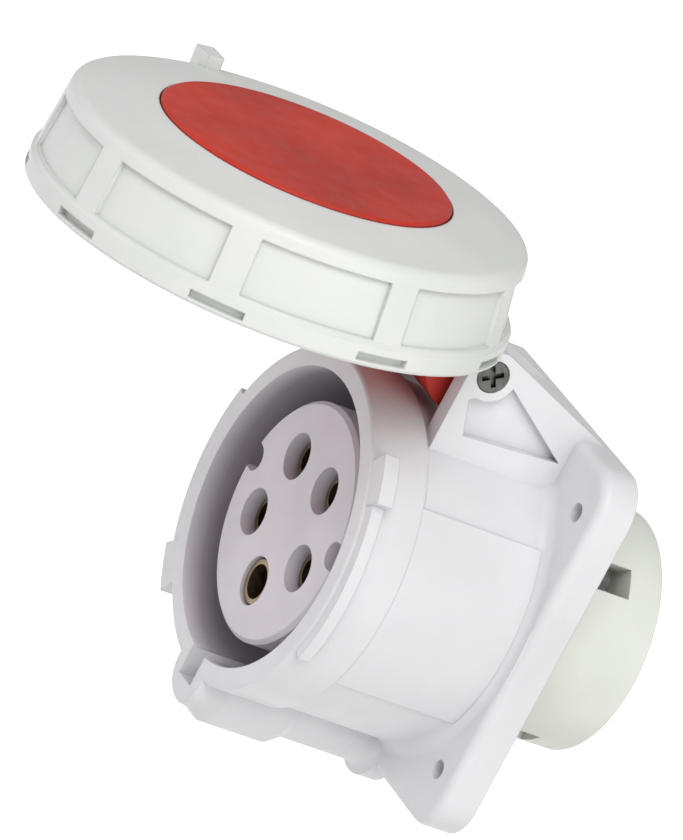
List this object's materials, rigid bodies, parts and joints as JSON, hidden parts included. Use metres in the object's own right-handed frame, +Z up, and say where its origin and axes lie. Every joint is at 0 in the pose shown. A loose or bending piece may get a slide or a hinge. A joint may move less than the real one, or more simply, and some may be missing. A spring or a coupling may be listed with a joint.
{
  "type": "industrial panel socket",
  "caption": "Watertight pin-and-sleeve power socket for a panel, with a straight flange and a hinged cover that locks with a turning bayonet ring.",
  "frame": {"origin": "where the axis of the barrel meets the mounting face of the flange", "axes": "+Z up, +Y into the panel along the barrel's axis, +X to the right seen from the front; the plug comes in from -Y"},
  "size_m": [0.1394, 0.2164, 0.1663],
  "materials": {
    "body_plastic": "satin moulded polyamide, pale grey",
    "ring_plastic": "satin moulded polyamide, warm off-white",
    "cap_plastic": "satin moulded polyamide, red, finely mottled",
    "insert_plastic": "matt moulded polyamide, lilac grey",
    "block_plastic": "matt moulded polyamide, pale green grey",
    "contact_brass": "turned brass",
    "spring_steel": "spring steel",
    "screw_steel": "zinc-plated steel",
    "hinge_steel": "dark steel, dull",
    "seal_rubber": "black soft rubber",
    "gasket_rubber": "dark grey soft rubber"
  },
  "bodies": {
    "base": {"flange": "body_plastic", "housing": "body_plastic", "shroud": "body_plastic", "shroud_rim": "body_plastic", "key_lobe": "body_plastic", "hinge_ears": "body_plastic", "contact_insert": "insert_plastic", "terminal_block": "block_plastic", "contact_l1": "contact_brass", "contact_l2": "contact_brass", "contact_l3": "contact_brass", "contact_neutral": "contact_brass", "contact_earth": "contact_brass", "sleeve_rings": "spring_steel", "clamp_screws": "screw_steel", "insert_screws": "screw_steel", "insert_seal": "seal_rubber", "panel_gasket": "gasket_rubber", "hinge_screw": "hinge_steel", "hinge_nut": "screw_steel", "friction_washers": "spring_steel"},
    "lid": {"cover_cap": "cap_plastic", "cap_seal": "seal_rubber"},
    "ring": {"locking_ring": "ring_plastic", "ring_top": "ring_plastic", "ring_tabs": "ring_plastic", "retaining_ring": "spring_steel"}
  },
  "joints": [
    {"name": "lid_hinge", "type": "hinge", "parent": "base", "child": "lid", "pos_m": [0, -0.0439, 0.066], "axis": [1, 0, 0], "range_deg": [-15, 84.6]},
    {"name": "ring_turn", "type": "hinge", "parent": "lid", "child": "ring", "pos_m": [0, -0.11345, 0.10041], "axis": [0, 0.0941, -0.9956], "range_deg": [0, 24]}
  ]
}
